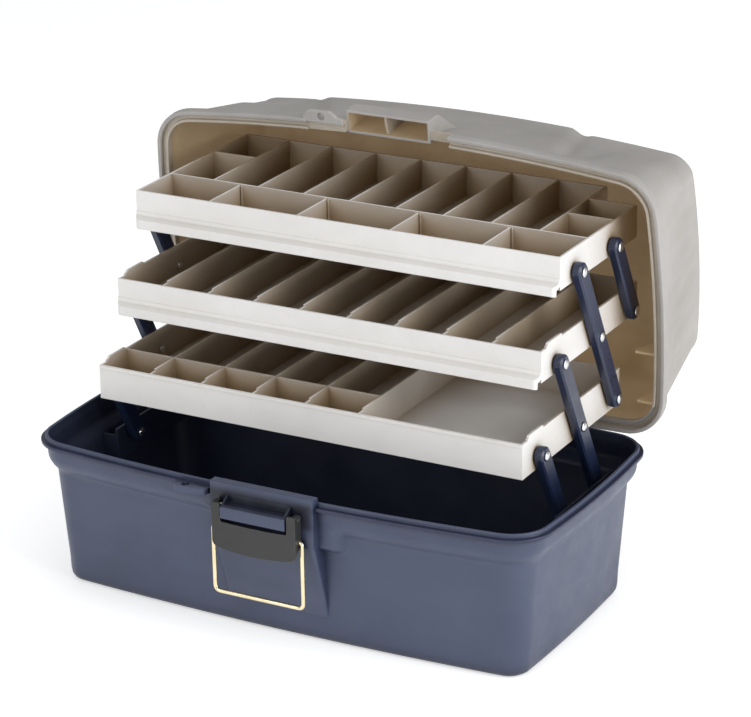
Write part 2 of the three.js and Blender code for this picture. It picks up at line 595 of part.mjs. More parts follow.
// a right-hand arm: a bevelled bar with round ends
function makeArm(pivots) {
  const from = pivots[0], to = pivots.at(-1);
  const length = Math.hypot(to[0] - from[0], to[1] - from[1]);
  const [uy, uz] = [(to[0] - from[0]) / length, (to[1] - from[1]) / length];
  const radius = ARM_R - ARM_BEVEL;
  const roundEnd = ([y, z], start) => Array.from({ length: ARM_END_STEPS + 1 }, (_, k) => {
    const angle = start + (Math.PI * k) / ARM_END_STEPS;
    const c = Math.cos(angle), s = Math.sin(angle);
    return [y + radius * (uy * c - uz * s), z + radius * (uz * c + uy * s)];
  });
  const bar = prismX(
    [...roundEnd(to, -Math.PI / 2), ...roundEnd(from, Math.PI / 2)],
    ARM_X + ARM_BEVEL, ARM_X + ARM_THICK - ARM_BEVEL,
    { bevelEnabled: true, bevelThickness: ARM_BEVEL, bevelSize: ARM_BEVEL, bevelSegments: 1 });
  return toGeometry(cut(toSolid(bar), ...pivots.map(([y, z]) => (
    cylX(ARM_BORE, ARM_X - 2, ARM_X + ARM_THICK + 2, y, z)))));
}
function mirrored(geometry) {
  const copy = geometry.clone().scale(-1, 1, 1);
  const index = copy.index.array;
  for (let i = 0; i < index.length; i += 3) {
    [index[i], index[i + 1]] = [index[i + 1], index[i]];
  }
  copy.computeVertexNormals();
  return copy;
}

// ---- rivets: head, shank and rolled tail turned on one axis ----
const SHANK_R = 2.2, HEAD_R = 4.1, TAIL_R = 3.3;
const RIVET_GAP = 0.3;              // head or tail to the face it bears on

// tailX and headX are distances from the middle of the box
function makeRivet(side, tailX, headX, [y, z]) {
  const grip = Math.abs(headX - tailX);
  const profile = [                 // radius, distance from the tail towards the head
    [0, -1.1], [TAIL_R, -1.1], [TAIL_R, -0.1], [SHANK_R, -0.1], [SHANK_R, grip],
    [HEAD_R, grip], [HEAD_R - 0.5, grip + 0.9], [HEAD_R - 2, grip + 1.6], [0, grip + 1.8],
  ];
  return new THREE.LatheGeometry(profile.map(([r, along]) => new THREE.Vector2(r, along)), 12)
    .rotateZ((-Math.PI / 2) * side * Math.sign(headX - tailX))
    .translate(side * tailX, y, z);
}
function addRivets(parent, side) {
  const trayTail = INSIDE_X - 0.2, trayHead = ARM_X + ARM_THICK + RIVET_GAP;
  TRAYS.forEach(({ name, pivots }, level) => {
    ['front', 'mid', 'rear'].slice(0, pivots).forEach((spot, i) => {
      const rivet = makeRivet(side, trayTail, trayHead, pivot(level, i));
      add(parent, `rivet_${name}_${spot}_${sideName(side)}`, rivet, steel);
    });
  });
  ['front', 'rear'].forEach((spot, i) => {
    const rivet = makeRivet(side, BRACKET_X[1] + RIVET_GAP, ARM_X - RIVET_GAP, basePivot(i));
    add(parent, `rivet_base_${spot}_${sideName(side)}`, rivet, steel);
  });
}

// ---- latch ----
const PLATE_HALF = 37, PLATE_THICK = 2.4, PLATE_REAR_Y = -134.6;
const PLATE = [                     // x, z
  [-37, 84], [-34, 81], [-20, 79.2], [0, 78.6], [20, 79.2], [34, 81], [37, 84],
  [37, 116.6], [35.6, 118.4], [31, 118.4], [29.4, 116.8], [29.4, 103.8], [28.6, 103],
  [0, 102.2], [-28.6, 103], [-29.4, 103.8], [-29.4, 116.8], [-31, 118.4],
  [-35.6, 118.4], [-37, 116.6],
];
const CHEEK_INNER_X = 33.2, CHEEK_R = 3.7;
const LEVER_BORE = 1.8, LATCH_PIN_R = 1.5, LATCH_PIN_HALF = 36.8;
const BAIL_Z = 96, BAIL_BORE = 1.95;
const BAIL_TIP_X = 34, BAIL_X = 39.5, BAIL_END_Z = 41, WIRE_R = 1.5;

// front plate with a rounded lower edge and two cheeks
function makeLever() {
  const plate = extrude(PLATE, PLATE_THICK).rotateX(Math.PI / 2).translate(0, PLATE_REAR_Y, 0);
  const cheek = [[-135, 88], [-132, 89.5], [LEVER_Y + CHEEK_R, 94]];
  for (let i = 0; i <= 4; i++) {
    const angle = (i * Math.PI) / 8;
    cheek.push([LEVER_Y + CHEEK_R * Math.cos(angle), LEVER_Z + CHEEK_R * Math.sin(angle)]);
  }
  cheek.push([-135, 118.2]);
  const body = union(plate, ...SIDES.map((side) => (
    prismX(cheek, ...spanX(side, CHEEK_INNER_X, PLATE_HALF)))));
  const bore = (radius, z) => cylX(radius, -LATCH_BORE_HALF, LATCH_BORE_HALF, LEVER_Y, z);
  return toGeometry(cut(body, bore(LEVER_BORE, LEVER_Z), bore(BAIL_BORE, BAIL_Z)));
}
function makeBail() {
  return rod([
    [-BAIL_TIP_X, LEVER_Y, BAIL_Z],
    [-BAIL_X, LEVER_Y, BAIL_Z, 2],
    [-BAIL_X, LEVER_Y, BAIL_END_Z, 5],
    [BAIL_X, LEVER_Y, BAIL_END_Z, 5],
    [BAIL_X, LEVER_Y, BAIL_Z, 2],
    [BAIL_TIP_X, LEVER_Y, BAIL_Z],
  ], WIRE_R, new THREE.Vector3(0, 1, 0), 10);
}

// ---- assembly ----
const tackleBox = new THREE.Group();
tackleBox.name = 'tackle_box';

add(tackleBox, 'base_shell', makeBase(), navy);
for (const side of SIDES) {
  const pin = hingeCyl(HINGE_PIN_R, side * HINGE_X, 22.5);
  add(tackleBox, `hinge_pin_${sideName(side)}`, pin, steel);
}

// the outer group turns about the hinge axis; the inner one holds the closed lid
const lidGroup = new THREE.Group();
lidGroup.position.set(0, HINGE_Y, HINGE_Z);
lidGroup.rotation.set(-THREE.MathUtils.degToRad(OPEN_DEG), 0, 0);
tackleBox.add(lidGroup);
const closedLid = new THREE.Group();
closedLid.position.set(0, -HINGE_Y, -HINGE_Z);
lidGroup.add(closedLid);
add(closedLid, 'lid_shell', makeLid(), frost);
add(closedLid, 'carry_handle', makeHandle(), navy);
for (const side of SIDES) {
  const pin = cylX(HANDLE_PIN_R, ...spanX(side, ...HANDLE_PIN_X), HANDLE_Y, HANDLE_Z);
  add(closedLid, `handle_pin_${sideName(side)}`, pin, steel);
}

TRAYS.forEach(({ name, make, pivots }, level) => {
  const tray = add(tackleBox, `${name}_tray`, toGeometry(boreTray(make(), pivots)), white);
  tray.position.set(0, trayY(level), trayZ(level));
});
LOOSE_X.forEach((x, i) => {
  const divider = add(tackleBox, `loose_divider_${i + 1}`, looseDivider(x), white);
  divider.position.set(0, trayY(2), trayZ(2));
});

for (const [name, pivots] of Object.entries(ARMS)) {
  const arm = makeArm(pivots);
  add(tackleBox, `${name}_right`, arm, navy);
  add(tackleBox, `${name}_left`, mirrored(arm), navy);
}
SIDES.forEach((side) => addRivets(tackleBox, side));

add(tackleBox, 'latch_lever', makeLever(), dark);
const latchPin = cylX(LATCH_PIN_R, -LATCH_PIN_HALF, LATCH_PIN_HALF, LEVER_Y, LEVER_Z);
add(tackleBox, 'latch_pin', latchPin, steel);
add(tackleBox, 'latch_bail', makeBail(), brass);

export default tackleBox;
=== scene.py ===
# Three-tray cantilever tackle box with its lid open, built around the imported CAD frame.
# X runs along the box (+X right), -Y is the front, +Z is up and the floor is z = 0.
# Shapes are drawn in millimetres and stored in metres. The lid is drawn closed, then opened.
# Materials, lights and the camera work in metres unless a name says otherwise.
import json
import math
import bmesh
import bpy
import numpy as np
from mathutils import Matrix, Vector


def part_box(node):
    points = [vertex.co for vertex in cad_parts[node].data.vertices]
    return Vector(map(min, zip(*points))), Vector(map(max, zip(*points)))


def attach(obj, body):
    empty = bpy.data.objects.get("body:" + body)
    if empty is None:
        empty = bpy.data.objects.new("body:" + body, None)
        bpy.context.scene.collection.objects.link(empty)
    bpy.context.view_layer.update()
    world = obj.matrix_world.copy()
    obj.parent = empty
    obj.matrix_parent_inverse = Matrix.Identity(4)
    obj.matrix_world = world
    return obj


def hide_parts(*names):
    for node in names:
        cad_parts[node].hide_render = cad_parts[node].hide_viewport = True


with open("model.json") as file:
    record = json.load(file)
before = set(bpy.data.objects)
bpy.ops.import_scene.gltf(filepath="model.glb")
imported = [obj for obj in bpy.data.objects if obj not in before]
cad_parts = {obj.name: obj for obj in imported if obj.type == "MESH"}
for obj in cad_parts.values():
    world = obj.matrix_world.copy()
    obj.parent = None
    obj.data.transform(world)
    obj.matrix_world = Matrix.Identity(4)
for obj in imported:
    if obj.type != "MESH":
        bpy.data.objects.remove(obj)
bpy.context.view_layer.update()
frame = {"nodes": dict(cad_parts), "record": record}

MM = 0.001

# Plans: reach from the origin to the ends, front and rear, corner radius, bow of each side
RIM_PLAN = dict(end=226, front=120.6, rear=113, corner=32, front_bow=10.5, rear_bow=3, end_bow=3)
FOOT_PLAN = dict(end=209, front=102.4, rear=97, corner=18, front_bow=7, rear_bow=2, end_bow=2)
LID_PLAN = dict(end=206, front=89.7, rear=106, corner=21, front_bow=9.5, rear_bow=2, end_bow=3.5)
SIDE_POINTS = (110, 30, 60, 30)  # front, right, rear, left
CORNER_POINTS = 12
FILLET_STEPS = 4

BASE_WALL = 2.8
LID_WALL = 2.5
LID_TOP = 256.0
LID_OPENING = math.radians(83)

# Axes parallel to X, as (y, z)
HINGE = (117.5, 116.5)
LEVER_PIVOT = (-130.6, 114.8)
BAIL_PIVOT = (LEVER_PIVOT[0], 96.0)
HANDLE_PIVOT = (14, 250.2)
HINGE_X = 120
HANDLE_X = 62
KNUCKLE_RADIUS = 4.6
HINGE_BORE = 1.95
BASE_RIVET_X = 201.7


# ---------------------------------------------------------------- plans and rings
def outline(plan, offset):
    """Closed curve, anticlockwise from the front left: bowed sides with round corners."""
    corner = max(plan["corner"] + offset, 3)
    end = plan["end"] + offset - corner - plan["end_bow"]
    front = -(plan["front"] + offset - corner - plan["front_bow"])
    rear = plan["rear"] + offset - corner - plan["rear_bow"]
    centres = [(-end, front), (end, front), (end, rear), (-end, rear)]
    bows = [plan[key] for key in ("front_bow", "end_bow", "rear_bow", "end_bow")]
    sides = []
    for i, bow in enumerate(bows):
        start, stop = np.array(centres[i], float), np.array(centres[(i + 1) % 4], float)
        half = np.linalg.norm(stop - start) / 2
        along = (stop - start) / (2 * half)
        outward = np.array([along[1], -along[0]])
        bow_radius = (half * half + bow ** 2) / (2 * bow)
        sweep = math.asin(half / bow_radius)
        centre = (start + stop) / 2 - outward * (bow_radius - bow)
        turn = np.linspace(-sweep, sweep, SIDE_POINTS[i])
        direction = np.cos(turn)[:, None] * outward + np.sin(turn)[:, None] * along
        sides.append((centre + direction * (bow_radius + corner), direction))
    points = []
    for i in range(4):
        points.append(sides[i][0])
        leaving, arriving = sides[i][1][-1], sides[(i + 1) % 4][1][0]
        first = math.atan2(leaving[1], leaving[0])
        last = math.atan2(arriving[1], arriving[0])
        while last < first:
            last += 2 * math.pi
        turn = np.linspace(first, last, CORNER_POINTS + 2)[1:-1]
        arc = corner * np.c_[np.cos(turn), np.sin(turn)]
        points.append(np.array(centres[(i + 1) % 4]) + arc)
    return np.vstack(points)


def mix_plans(first, second, t):
    return {key: first[key] + (second[key] - first[key]) * t for key in first}


def inset(plan, amount):
    return dict(plan, **{key: plan[key] - amount for key in ("end", "front", "rear", "corner")})


def ring(plan, offset, z, fillet=0.0):
    points = outline(plan, offset)
    return np.c_[points, np.full(len(points), float(z))], fillet


def filleted(rings):
    """Rounds each ring by its own radius; also returns which ring each new one came from."""
    out, source = [], []
    for i, (points, radius) in enumerate(rings):
        if radius <= 0 or i in (0, len(rings) - 1):
            out.append(points)
            source.append(i)
            continue
        starts = []
        for neighbour in (rings[i - 1][0], rings[i + 1][0]):
            away = neighbour - points
            length = np.linalg.norm(away, axis=1, keepdims=True)
            starts.append(points + away * np.minimum(radius / length, 0.48))
        before, after = starts
        for k in range(FILLET_STEPS + 1):
            t = k / FILLET_STEPS
            out.append(before * (1 - t) ** 2 + points * 2 * t * (1 - t) + after * t * t)
            source.append(i)
    return out, source


def smooth(t):
    t = np.clip(t, 0, 1)
    return t * t * (3 - 2 * t)


def span(side, near, far):
    """X limits of a piece lying from near to far on one side (-1 left, 1 right)."""
    return sorted((side * near, side * far))


# ---------------------------------------------------------------- mesh builders
def add_object(name, mats, mesh, face_slots=None):
    for material in mats:
        mesh.materials.append(material)
    if face_slots:
        mesh.polygons.foreach_set("material_index", face_slots)
        mesh.polygons.foreach_set("use_smooth", [True] * len(mesh.polygons))
    ob = bpy.data.objects.new(name, mesh)
    bpy.context.scene.collection.objects.link(ob)
    return ob


def mesh_object(name, mats, verts, faces, face_slots):
    mesh = bpy.data.meshes.new(name)
    mesh.from_pydata([tuple(v) for v in np.asarray(verts, float) * MM], [], faces)
    mesh.validate()
    return add_object(name, mats, mesh, face_slots)


def bm_object(name, mats, bm, slot=None):
    mesh = bpy.data.meshes.new(name)
    bm.to_mesh(mesh)
    bm.free()
    slots = None if slot is None else [slot] * len(mesh.polygons)
    return add_object(name, mats, mesh, slots)


def turned_out(ob):
    """Makes all the normals face outwards."""
    bm = bmesh.new()
    bm.from_mesh(ob.data)
    bmesh.ops.recalc_face_normals(bm, faces=bm.faces)
    bm.to_mesh(ob.data)
    bm.free()
    return ob


def skin(name, mats, rings, slot_of):
    """Joins rings into a closed skin; slot_of gives the material slot of each band."""
    n = len(rings[0])
    faces, slots = [], []
    for i in range(len(rings) - 1):
        for j in range(n):
            a, b = i * n + j, i * n + (j + 1) % n
            faces.append((a, b, b + n, a + n))
            slots.append(slot_of(i))
    last = (len(rings) - 1) * n
    faces += [tuple(range(n - 1, -1, -1)), tuple(range(last, last + n))]
    slots += [slot_of(0), slot_of(len(rings) - 2)]
    return mesh_object(name, mats, np.vstack(rings), faces, slots)


def bevel_sharp(bm, width, steps, angle=28):
    edges = [e for e in bm.edges
             if len(e.link_faces) == 2 and e.calc_face_angle(0) > math.radians(angle)]
    bmesh.ops.bevel(bm, geom=edges, offset=width * MM, offset_type="OFFSET", segments=steps,
                    profile=0.5, affect="EDGES", clamp_overlap=True)


def prism(name, mats, poly, low, high, axis="x", bevel=0.5, steps=2, slot=0):
    """A polygon drawn along an axis: (y, z) points for x, (x, z) for y, (x, y) for z."""
    poly = [tuple(point) for point in poly]
    n = len(poly)
    following = poly[1:] + poly[:1]
    if sum(p[0] * q[1] - q[0] * p[1] for p, q in zip(poly, following)) < 0:
        poly = poly[::-1]

    def at(point, h):
        u, v = point
        return {"x": (h, u, v), "y": (u, h, v), "z": (u, v, h)}[axis]
    bm = bmesh.new()
    bottom, top = ([bm.verts.new(Vector(at(p, h)) * MM) for p in poly] for h in (low, high))
    bm.faces.new(bottom[::-1])
    bm.faces.new(top)
    for i in range(n):
        j = (i + 1) % n
        bm.faces.new((bottom[i], bottom[j], top[j], top[i]))
    bmesh.ops.recalc_face_normals(bm, faces=bm.faces)
    if bevel > 0:
        bevel_sharp(bm, bevel, steps)
    return bm_object(name, mats, bm, slot)


def block(name, mats, x0, x1, y0, y1, z0, z1, **options):
    return prism(name, mats, [(y0, z0), (y1, z0), (y1, z1), (y0, z1)], x0, x1, **options)


def lathe(name, mats, profile, axis, origin, sides=32):
    """Turns (radius, height) points about an axis; the profile starts and ends on it."""
    verts, faces, rows = [], [], []
    for radius, height in profile:
        first = len(verts)
        if radius < 1e-6:
            verts.append((0, 0, height))
        else:
            for k in range(sides):
                turn = 2 * math.pi * k / sides
                verts.append((radius * math.cos(turn), radius * math.sin(turn), height))
        rows.append(range(first, len(verts)))
    for low, high in zip(rows, rows[1:]):
        for k in range(sides):
            j = (k + 1) % sides
            if len(low) == 1:
                faces.append((low[0], high[j], high[k]))
            elif len(high) == 1:
                faces.append((low[k], low[j], high[0]))
            else:
                faces.append((low[k], low[j], high[j], high[k]))
    turn = Vector((0, 0, 1)).rotation_difference(Vector(axis)).to_matrix()
    verts = [turn @ Vector(v) + Vector(origin) for v in verts]
    return turned_out(mesh_object(name, mats, verts, faces, [0] * len(faces)))


def cyl(name, mats, radius, x0, x1, centre, chamfer=0.3):
    """A chamfered cylinder along X, centred on (y, z)."""
    h = x1 - x0
    c = min(chamfer, radius * 0.4)
    profile = [(0, 0), (radius - c, 0), (radius - c * 0.3, c * 0.3), (radius, c),
               (radius, h - c), (radius - c * 0.3, h - c * 0.3), (radius - c, h), (0, h)]
    return lathe(name, mats, profile, (1, 0, 0), (x0, *centre))


def rod(name, mats, path, radii, sides, normal):
    """A round rod along a flat path; normal is square to the path's plane."""
    path = [Vector(p) for p in path]
    normal = Vector(normal)
    n = len(path)
    verts, faces = [], []
    for i, (point, radius) in enumerate(zip(path, radii)):
        along = (path[min(i + 1, n - 1)] - path[max(i - 1, 0)]).normalized()
        across = along.cross(normal).normalized()
        for k in range(sides):
            turn = 2 * math.pi * k / sides
            verts.append(point + (across * math.cos(turn) + normal * math.sin(turn)) * radius)
    for i in range(n - 1):
        for k in range(sides):
            a, b = i * sides + k, i * sides + (k + 1) % sides
            faces.append((a, b, b + sides, a + sides))
    faces.append(tuple(range(sides))[::-1])
    faces.append(tuple(range((n - 1) * sides, n * sides)))
    return turned_out(mesh_object(name, mats, verts, faces, [0] * len(faces)))


def bend_path(corners, setbacks, steps=10):
    """Rounds each inner corner, starting the bend its setback away."""
    corners = [Vector(c) for c in corners]
    out = [corners[0]]
    for i in range(1, len(corners) - 1):
        point = corners[i]
        start = point + (corners[i - 1] - point).normalized() * setbacks[i]
        stop = point + (corners[i + 1] - point).normalized() * setbacks[i]
        for k in range(steps + 1):
            t = k / steps
            out.append(start * (1 - t) ** 2 + point * 2 * t * (1 - t) + stop * t * t)
    out.append(corners[-1])
    return out


def combine(ob, operation, pieces):
    """Applies one boolean after another and removes the pieces used."""
    for piece in pieces:
        modifier = ob.modifiers.new("boolean", "BOOLEAN")
        modifier.operation = operation
        modifier.solver = "EXACT"
        modifier.object = piece
        depsgraph = bpy.context.evaluated_depsgraph_get()
        mesh = bpy.data.meshes.new_from_object(ob.evaluated_get(depsgraph))
        ob.modifiers.clear()
        old = ob.data
        ob.data = mesh
        bpy.data.meshes.remove(old)
        bpy.data.objects.remove(piece, do_unlink=True)


def tidy(ob, angle=32):
    """Merges stray points, marks sharp edges and weights the normals."""
    bm = bmesh.new()
    bm.from_mesh(ob.data)
    bmesh.ops.remove_doubles(bm, verts=bm.verts, dist=0.004 * MM)
    bmesh.ops.dissolve_degenerate(bm, dist=0.001 * MM, edges=bm.edges)
    for face in bm.faces:
        face.smooth = True
    limit = math.radians(angle)
    for edge in bm.edges:
        edge.smooth = not (len(edge.link_faces) == 2 and edge.calc_face_angle(0) > limit)
    bm.to_mesh(ob.data)
    bm.free()
    modifier = ob.modifiers.new("normals", "WEIGHTED_NORMAL")
    modifier.keep_sharp = True
    modifier.weight = 80
    return ob


def open_lid(ob):
    """Turns a piece drawn on the closed lid to where the lid stands open."""
    hinge = Vector((0, *HINGE)) * MM
    turn = Matrix.Rotation(-LID_OPENING, 4, "X")
    ob.data.transform(Matrix.Translation(hinge) @ turn @ Matrix.Translation(-hinge))
    ob.data.update()


def from_node(node, mats, bevel, steps=2, angle=28):
    """A copy of a CAD node with merged flats and rounded edges."""
    source = frame["nodes"][node].data
    bm = bmesh.new()
    for vertex in source.vertices:
        bm.verts.new(vertex.co)
    bm.verts.ensure_lookup_table()
    for polygon in source.polygons:
        # a face the CAD mesh holds twice is refused the second time
        try:
            bm.faces.new([bm.verts[i] for i in polygon.vertices])
        except ValueError:
            pass
    bmesh.ops.remove_doubles(bm, verts=bm.verts, dist=0.004 * MM)
    bmesh.ops.recalc_face_normals(bm, faces=bm.faces)
    bmesh.ops.dissolve_limit(bm, angle_limit=math.radians(0.6), verts=bm.verts,
                             edges=bm.edges, delimit=set())
    bevel_sharp(bm, bevel, steps, angle)
    return tidy(bm_object(node + "_visual", mats, bm), 40)


def node_centre(node):
    low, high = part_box(node)
    return (low + high) / 2 / MM


def place(ob, body, node):
    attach(ob, body)
    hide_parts(node)


# ---------------------------------------------------------------- materials
def srgb(*rgb):
    def linear(c):
        return c / 12.92 if c <= 0.04045 else ((c + 0.055) / 1.055) ** 2.4
    return (*(linear(c / 255) for c in rgb), 1)


class Shader:
    """A principled material, with short calls for the nodes that feed it."""

    def __init__(self, name):
        self.material = bpy.data.materials.new(name)
        self.material.use_nodes = True
        self.tree = self.material.node_tree
        self.tree.nodes.clear()
        self.out = self.add("ShaderNodeOutputMaterial")
        self.bsdf = self.add("ShaderNodeBsdfPrincipled")
        self.link(self.bsdf.outputs[0], self.out.inputs[0])
        self.position = self.add("ShaderNodeTexCoord").outputs["Object"]

    def link(self, source, target):
        self.tree.links.new(source, target)

    def add(self, kind, **properties):
        node = self.tree.nodes.new(kind)
        for key, value in properties.items():
            setattr(node, key, value)
        return node

    def feed(self, socket, value):
        """Links a socket to a node's output, or sets it to a plain value."""
        if isinstance(value, (int, float, tuple)):
            socket.default_value = value
        else:
            self.link(value, socket)

    def set(self, **values):
        """Feeds the principled node, with _ for the spaces in a socket's name."""
        for key, value in values.items():
            self.feed(self.bsdf.inputs[key.replace("_", " ")], value)

    def mapped(self, scale, rotation=(0, 0, 0)):
        node = self.add("ShaderNodeMapping")
        node.inputs["Scale"].default_value = scale
        node.inputs["Rotation"].default_value = rotation
        self.link(self.position, node.inputs["Vector"])
        return node.outputs[0]

    def xyz(self):
        node = self.add("ShaderNodeSeparateXYZ")
        self.link(self.position, node.inputs[0])
        return node.outputs

    def noise(self, scale, detail=3, roughness=0.5, vector=None, distortion=0.0):
        node = self.add("ShaderNodeTexNoise")
        node.inputs["Scale"].default_value = scale
        node.inputs["Detail"].default_value = detail
        node.inputs["Roughness"].default_value = roughness
        node.inputs["Distortion"].default_value = distortion
        self.link(vector or self.position, node.inputs["Vector"])
        return node.outputs["Fac"]

    def cells(self, scale):
        node = self.add("ShaderNodeTexVoronoi")
        node.inputs["Scale"].default_value = scale
        self.link(self.position, node.inputs["Vector"])
        return node.outputs["Distance"]

    def remap(self, value, source, target=(0, 1)):
        node = self.add("ShaderNodeMapRange")
        for i, limit in enumerate((*source, *target)):
            node.inputs[i + 1].default_value = limit
        self.link(value, node.inputs[0])
        return node.outputs[0]

    def math(self, operation, *values, clamp=False):
        node = self.add("ShaderNodeMath", operation=operation, use_clamp=clamp)
        for socket, value in zip(node.inputs, values):
            self.feed(socket, value)
        return node.outputs[0]

    def product(self, first, *others):
        for other in others:
            first = self.math("MULTIPLY", first, other)
        return first

    def mix(self, factor, first, second, blend="MIX"):
        node = self.add("ShaderNodeMix", data_type="RGBA", blend_type=blend)
        for i, value in ((0, factor), (6, first), (7, second)):
            self.feed(node.inputs[i], value)
        return node.outputs[2]

    def tint(self, factor, colour, tint):
        """Multiplies the colour by a tint where factor is 1."""
        return self.mix(factor, colour, self.mix(1.0, colour, tint, "MULTIPLY"))

    def edge(self, radius_mm):
        """1 on edges, 0 on flats."""
        bevel = self.add("ShaderNodeBevel", samples=4)
        bevel.inputs["Radius"].default_value = radius_mm * MM
        geometry = self.add("ShaderNodeNewGeometry")
        dot = self.add("ShaderNodeVectorMath", operation="DOT_PRODUCT")
        self.link(bevel.outputs[0], dot.inputs[0])
        self.link(geometry.outputs["Normal"], dot.inputs[1])
        return self.remap(dot.outputs["Value"], (0.995, 0.90))

    def occlusion(self, distance):
        node = self.add("ShaderNodeAmbientOcclusion", samples=6)
        node.inputs["Distance"].default_value = distance
        return node.outputs["AO"]

    def bump(self, *layers):
        """Stacks bumps, each given as (height, strength, distance)."""
        previous = None
        for height, strength, distance in layers:
            node = self.add("ShaderNodeBump")
            node.inputs["Strength"].default_value = strength
            node.inputs["Distance"].default_value = distance
            self.link(height, node.inputs["Height"])
            if previous is not None:
                self.link(previous, node.inputs["Normal"])
            previous = node.outputs[0]
        self.set(Normal=previous)


def shade_base(n, colour, tint):
    """Paints shade on the wall behind the latch and on a thin band under the rim, by darkening the
    colour there.
    """
    x, y, z = n.xyz()
    # painted shade on the plinth face and ridge behind the latch
    latch_painted_shade = n.product(
        n.remap(n.math("ABSOLUTE", x), (0.043, 0.049), (1, 0)),
        n.remap(z, (0.103, 0.108)),
        n.remap(z, (0.124, 0.1285), (1, 0)),
        n.remap(y, (-0.1379, -0.1374)),
        n.remap(n.noise(scale=60), (0.2, 0.7), (0.6, 1)))
    colour = n.tint(latch_painted_shade, colour, tint)
    # painted shade: a dark band along the bead under the rim
    band = n.product(
        n.remap(z, (0.1188, 0.1196)),
        n.remap(z, (0.1240, 0.1246), (1, 0)),
        n.remap(n.noise(scale=40), (0.2, 0.7), (0.7, 1)),
        n.remap(n.math("ABSOLUTE", y), (0.1262, 0.1268), (1, 0)))
    band_shade_tint = (0.2, 0.24, 0.42, 1)
    return n.tint(band, colour, band_shade_tint)


def scratches(n):
    """Two crossing sets of fine lines, as (noise scale, stretch, rotation)."""
    sets = ((60, (2, 26, 26), (0.2, 0.4, 0.5)), (70, (24, 2, 24), (0.5, -0.3, 0.8)))
    return n.math("MAXIMUM", *(
        n.remap(n.noise(scale=scale, detail=2, vector=n.mapped(stretch, rotation)), (0.705, 0.72))
        for scale, stretch, rotation in sets))


def moulded(name, base, dark, light, rubbed, roughness, grain=0.1, wear=0.5, scratch=0.5,
            grain_scale=1600, subsurface=0.0, translucent=0.0, painted_glow=0.0, corner_shade_tint=None,
            corner_shade_reach=0.0, shade=None):
    """Moulded plastic: cloudy colour, fine grain, scuffed roughness and rubbed edges.

    Colours are sRGB bytes. The corner tint paints shade into corners within its reach, the shade
    tint paints shade on the base, and the glow paints light coming through the frosted lid.
    """
    n = Shader(name)
    base, dark, light, rubbed = (srgb(*c) for c in (base, dark, light, rubbed))
    cloud = n.noise(scale=9, detail=4, roughness=0.55)
    speck = n.noise(scale=220, detail=2)
    flow = n.noise(scale=26, vector=n.mapped((1, 0.35, 2.2)), distortion=0.6)
    colour = n.mix(n.remap(cloud, (0.3, 0.7)), dark, light)
    colour = n.mix(0.5, base, colour)
    colour = n.mix(n.remap(flow, (0.35, 0.75), (0, 0.35)), colour, light)
    colour = n.mix(n.remap(speck, (0.62, 0.78), (0, 0.25)), colour, dark)
    # painted shade: corners and recesses found by occlusion get a darker tint
    if corner_shade_tint:
        corners = n.remap(n.occlusion(corner_shade_reach), (0.9, 0.25))
        colour = n.tint(corners, colour, srgb(*corner_shade_tint))
    patches = n.remap(n.noise(scale=70, detail=4, roughness=0.6), (0.4, 0.62), (0, wear))
    worn = n.math("MULTIPLY", n.edge(radius_mm=0.7), patches, clamp=True)
    colour = n.mix(worn, colour, rubbed)
    # painted shade on the base, laid by shade_base
    if shade:
        colour = shade_base(n, colour, srgb(*shade))
    lines = scratches(n)
    scuffs = n.remap(n.noise(scale=34, detail=5, roughness=0.65), (0.3, 0.7), roughness)
    line_roughness = n.math("MULTIPLY", lines, 0.12 * scratch)
    n.set(Base_Color=colour, Roughness=n.math("ADD", scuffs, line_roughness, clamp=True),
          Coat_Roughness=0.2)
    if subsurface:
        n.set(Subsurface_Weight=subsurface, Subsurface_Radius=(1.0, 0.8, 0.6),
              Subsurface_Scale=0.004)
    n.bump((n.cells(grain_scale), grain, 0.00012),
           (n.noise(scale=900, detail=2), grain * 0.8, 0.0001),
           (cloud, 0.06, 0.002),
           (lines, 0.15 * scratch, 0.00005))
    if painted_glow:
        # painted light: an emission glow that stands in for light coming through the frosted lid,
        # stronger towards the hinge, where z is low on the open lid
        strength = n.product(n.remap(cloud, (0.3, 0.7), (painted_glow * 0.75, painted_glow * 1.25)),
                             n.remap(n.xyz()[2], (0.15, 0.26), (2.4, 1)))
        n.set(Emission_Color=colour, Emission_Strength=strength)
    if translucent:
        through = n.add("ShaderNodeBsdfTranslucent")
        n.link(colour, through.inputs["Color"])
        blend = n.add("ShaderNodeMixShader")
        blend.inputs[0].default_value = translucent
        n.link(n.bsdf.outputs[0], blend.inputs[1])
        n.link(through.outputs[0], blend.inputs[2])
        n.link(blend.outputs[0], n.out.inputs[0])
    return n.material


def metal(name, base, dark, roughness):
    """Brushed metal, clouded with a darker tarnish that is rubbed off the edges."""
    n = Shader(name)
    base, dark = srgb(*base), srgb(*dark)
    cloud = n.noise(scale=90, detail=4, roughness=0.6)
    colour = n.mix(n.remap(cloud, (0.35, 0.7), (0, 0.4)), base, dark)
    colour = n.mix(n.math("MULTIPLY", n.edge(radius_mm=0.4), 0.5), colour, base)
    brush = n.noise(scale=55, vector=n.mapped((2, 40, 40)))
    halves = (n.math("MULTIPLY", value, 0.5) for value in (brush, cloud))
    uneven = n.remap(n.math("ADD", *halves), (0.35, 0.65), roughness)
    n.set(Base_Color=colour, Roughness=uneven, Metallic=1.0)
    n.bump((brush, 0.1, 0.00006), (n.noise(scale=1400, detail=2), 0.06, 0.00005))
    return n.material
